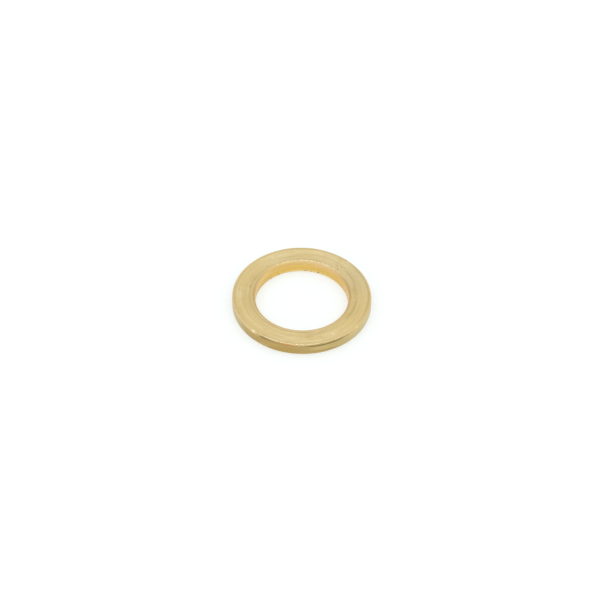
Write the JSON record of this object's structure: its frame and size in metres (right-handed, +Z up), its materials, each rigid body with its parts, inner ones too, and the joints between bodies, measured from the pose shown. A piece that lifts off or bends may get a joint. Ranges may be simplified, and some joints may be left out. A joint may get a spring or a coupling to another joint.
{
  "type": "flat washer",
  "caption": "Flat round turned-brass washer with a plain clearance bore, ring-turned faces, a rounded bore mouth and a narrow bevelled rim.",
  "frame": {"origin": "centre of the face the washer rests on, on the bore axis", "axes": "+Z up along the bore axis, X and Y in the plane of the face"},
  "size_m": [0.0198, 0.0198, 0.0019],
  "materials": {
    "brass": "bare brass, fine-turned: satin with concentric tool marks on the faces, smoother in the bore, streaked on the side wall"
  },
  "bodies": {
    "root": {"washer": "brass"}
  },
  "joints": []
}
